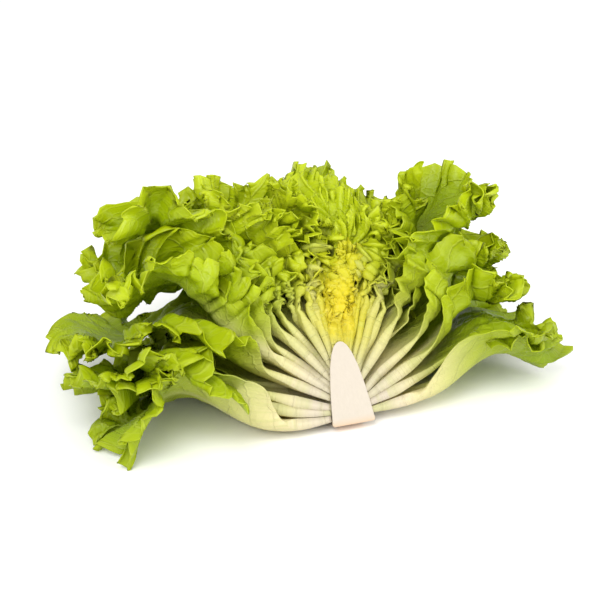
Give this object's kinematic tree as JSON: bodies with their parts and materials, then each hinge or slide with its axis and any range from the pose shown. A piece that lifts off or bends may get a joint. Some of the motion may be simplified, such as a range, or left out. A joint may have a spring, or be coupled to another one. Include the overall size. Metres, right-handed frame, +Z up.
{
  "type": "lettuce half",
  "caption": "Half head of frilly green lettuce, cut lengthwise through its core, leaning back on its spread outer leaves.",
  "frame": {"origin": "on the surface, under the middle of the head's box", "axes": "+X along the cut face to the right, the cut face looks towards -Y and leans back, +Z up"},
  "size_m": [0.3404, 0.2422, 0.1528],
  "materials": {
    "core": "moist cut stem",
    "heart": "crinkled blanched leaf",
    "inner_leaf": "satin leaf",
    "middle_leaf": "satin leaf",
    "outer_leaf": "satin leaf"
  },
  "bodies": {
    "root": {"core": "core", "heart": "heart", "inner_leaf_01": "inner_leaf", "inner_leaf_02": "inner_leaf", "inner_leaf_03": "inner_leaf", "inner_leaf_04": "inner_leaf", "inner_leaf_05": "inner_leaf", "inner_leaf_06": "inner_leaf", "inner_leaf_07": "inner_leaf", "middle_leaf_01": "middle_leaf", "middle_leaf_02": "middle_leaf", "middle_leaf_03": "middle_leaf", "middle_leaf_04": "middle_leaf", "middle_leaf_05": "middle_leaf", "middle_leaf_06": "middle_leaf", "middle_leaf_07": "middle_leaf", "middle_leaf_08": "middle_leaf", "middle_leaf_09": "middle_leaf", "middle_leaf_10": "middle_leaf", "middle_leaf_11": "middle_leaf", "middle_leaf_12": "middle_leaf", "middle_leaf_13": "middle_leaf", "middle_leaf_14": "middle_leaf", "middle_leaf_15": "middle_leaf", "outer_leaf_01": "outer_leaf", "outer_leaf_02": "outer_leaf", "outer_leaf_03": "outer_leaf", "outer_leaf_04": "outer_leaf", "outer_leaf_05": "outer_leaf", "outer_leaf_06": "outer_leaf", "outer_leaf_07": "outer_leaf", "outer_leaf_08": "outer_leaf", "outer_leaf_09": "outer_leaf"}
  },
  "joints": []
}
